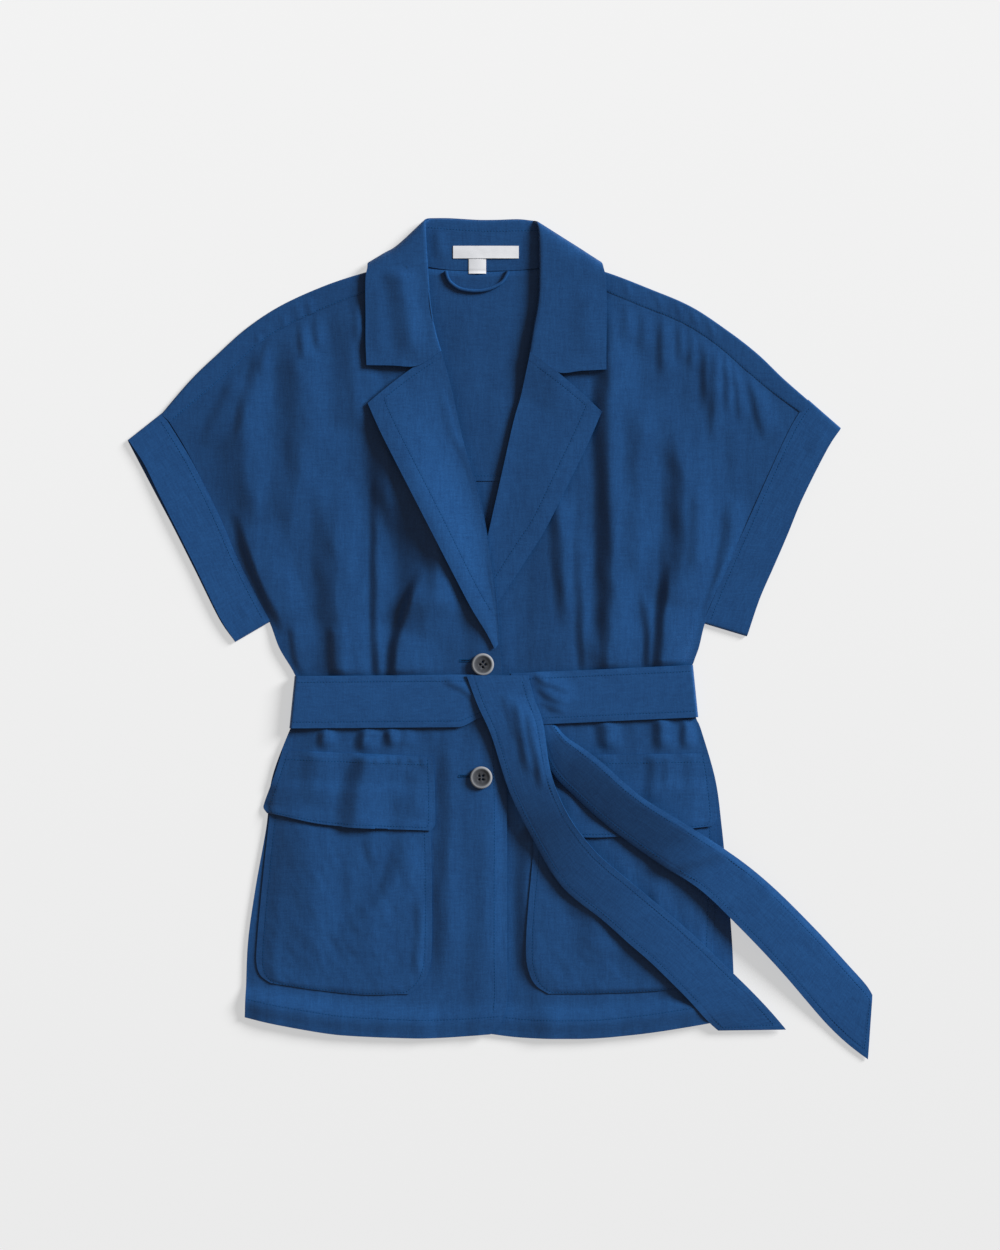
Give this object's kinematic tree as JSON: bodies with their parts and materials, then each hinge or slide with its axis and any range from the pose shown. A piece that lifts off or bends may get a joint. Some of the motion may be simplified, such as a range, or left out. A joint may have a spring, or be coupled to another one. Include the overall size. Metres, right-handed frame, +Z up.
{
  "type": "shirt jacket",
  "caption": "Belted short-sleeve shirt jacket laid flat, with a notched collar, flap pockets, turned cuffs and a knotted self belt.",
  "frame": {"origin": "on the surface that the jacket lies on, under the middle of its laid-out box", "axes": "+X to the right as seen from above with the collar at the top, +Y from hem to collar, +Z up from the surface"},
  "size_m": [0.6912, 0.7804, 0.0154],
  "materials": {
    "cloth": "plain slub weave with a slight sheen",
    "button": "dark horn look, satin",
    "label": "plain woven tape"
  },
  "bodies": {
    "root": {"back_panel": "cloth", "back_yoke": "cloth", "front_left": "cloth", "front_right": "cloth", "lapel_left": "cloth", "lapel_right": "cloth", "collar": "cloth", "cuff_left": "cloth", "cuff_right": "cloth", "pocket_left": "cloth", "pocket_right": "cloth", "flap_left": "cloth", "flap_right": "cloth", "belt_band": "cloth", "belt_tail_over": "cloth", "belt_tail_under": "cloth", "button_top": "button", "button_low": "button", "hanger_loop": "cloth", "neck_label": "label", "size_tab": "label"}
  },
  "joints": []
}
